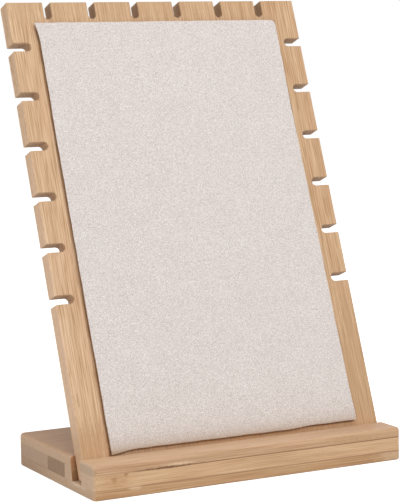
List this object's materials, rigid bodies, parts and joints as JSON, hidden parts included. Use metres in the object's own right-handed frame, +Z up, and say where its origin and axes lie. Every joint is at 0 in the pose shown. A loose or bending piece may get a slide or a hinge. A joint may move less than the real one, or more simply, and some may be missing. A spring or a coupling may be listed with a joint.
{
  "type": "jewelry stand",
  "caption": "Bamboo necklace display stand: a slotted board with a micro-suede pad leans back in the groove of a laminated base, and lifts out.",
  "frame": {"origin": "middle of the base's underside, on the surface that the stand rests on", "axes": "+Z up, +X to the right seen from the front, +Y to the back, the way the board leans"},
  "size_m": [0.206, 0.1299, 0.2817],
  "materials": {
    "base_bamboo": "satin, sanded and lightly lacquered bamboo",
    "panel_bamboo": "satin, sanded and lightly lacquered bamboo",
    "suede": "brushed micro-suede, matte",
    "fibreboard": "raw sawn fibreboard, matte"
  },
  "bodies": {
    "base": {"base_plate": "base_bamboo", "front_core_strip": "base_bamboo", "rear_core_strip_1": "base_bamboo", "rear_core_strip_2": "base_bamboo", "rear_core_strip_3": "base_bamboo", "rear_core_strip_4": "base_bamboo", "front_top_ply": "base_bamboo", "rear_top_ply": "base_bamboo"},
    "display": {"display_panel": "panel_bamboo", "pad_backing": "fibreboard", "pad_suede": "suede"}
  },
  "joints": [
    {"name": "board_lift", "type": "slide", "parent": "base", "child": "display", "axis": [0, 0.3535, 0.9354], "range_m": [0, 0.04]}
  ]
}
